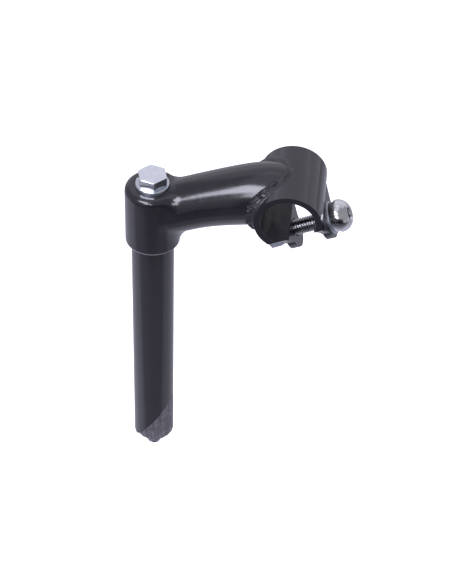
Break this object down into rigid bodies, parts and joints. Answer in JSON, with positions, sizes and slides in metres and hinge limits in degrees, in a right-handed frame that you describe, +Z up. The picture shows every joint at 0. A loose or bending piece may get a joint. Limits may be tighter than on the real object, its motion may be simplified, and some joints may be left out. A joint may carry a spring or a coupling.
{
  "type": "handlebar stem",
  "caption": "Black quill handlebar stem with a rising round extension, an open handlebar clamp with a pinch bolt, and an expander wedge drawn by a long bolt.",
  "frame": {"origin": "on the quill's axis, at the shoulder just under the neck", "axes": "+X forward to the handlebar, +Y along the handlebar to the rider's left, +Z up along the quill"},
  "size_m": [0.1105, 0.039, 0.2015],
  "materials": {
    "black_paint": "semi-gloss black paint",
    "chrome": "bright chrome plate",
    "zinc": "blue-white zinc plate",
    "wedge_steel": "dull dark grey, as forged"
  },
  "bodies": {
    "stem": {"neck_and_extension": "black_paint", "quill_tube": "black_paint", "handlebar_clamp": "black_paint", "weld_bead": "black_paint", "quill_bolt_washer": "chrome", "pinch_flat_washer": "chrome"},
    "quill_bolt": {"quill_bolt": "chrome"},
    "wedge": {"expander_wedge": "wedge_steel"},
    "pinch_bolt": {"pinch_bolt": "chrome", "pinch_lock_washer": "chrome"},
    "pinch_nut": {"pinch_nut": "zinc"}
  },
  "joints": [
    {"name": "wedge_slide", "type": "slide", "parent": "stem", "child": "wedge", "axis": [0.5421, 0, 0.8403], "range_m": [-0.0011, 0.00074]},
    {"name": "quill_bolt_turn", "type": "hinge", "parent": "stem", "child": "quill_bolt", "pos_m": [0, 0, 0.0335], "axis": [0, 0, 1], "range_deg": [-180, 267]},
    {"name": "pinch_nut_slide", "type": "slide", "parent": "stem", "child": "pinch_nut", "axis": [-0.9011, 0, -0.4337], "range_m": [0, 0.00374]},
    {"name": "pinch_bolt_turn", "type": "hinge", "parent": "stem", "child": "pinch_bolt", "pos_m": [0.07426, 0, 0.01687], "axis": [0.9011, 0, 0.4337], "range_deg": [0, 1080]}
  ],
  "couplings": [
    {"joint": "quill_bolt_turn", "follows": "wedge_slide", "rad_per_m": -4223.8},
    {"joint": "pinch_bolt_turn", "follows": "pinch_nut_slide", "rad_per_m": 5026.5}
  ]
}
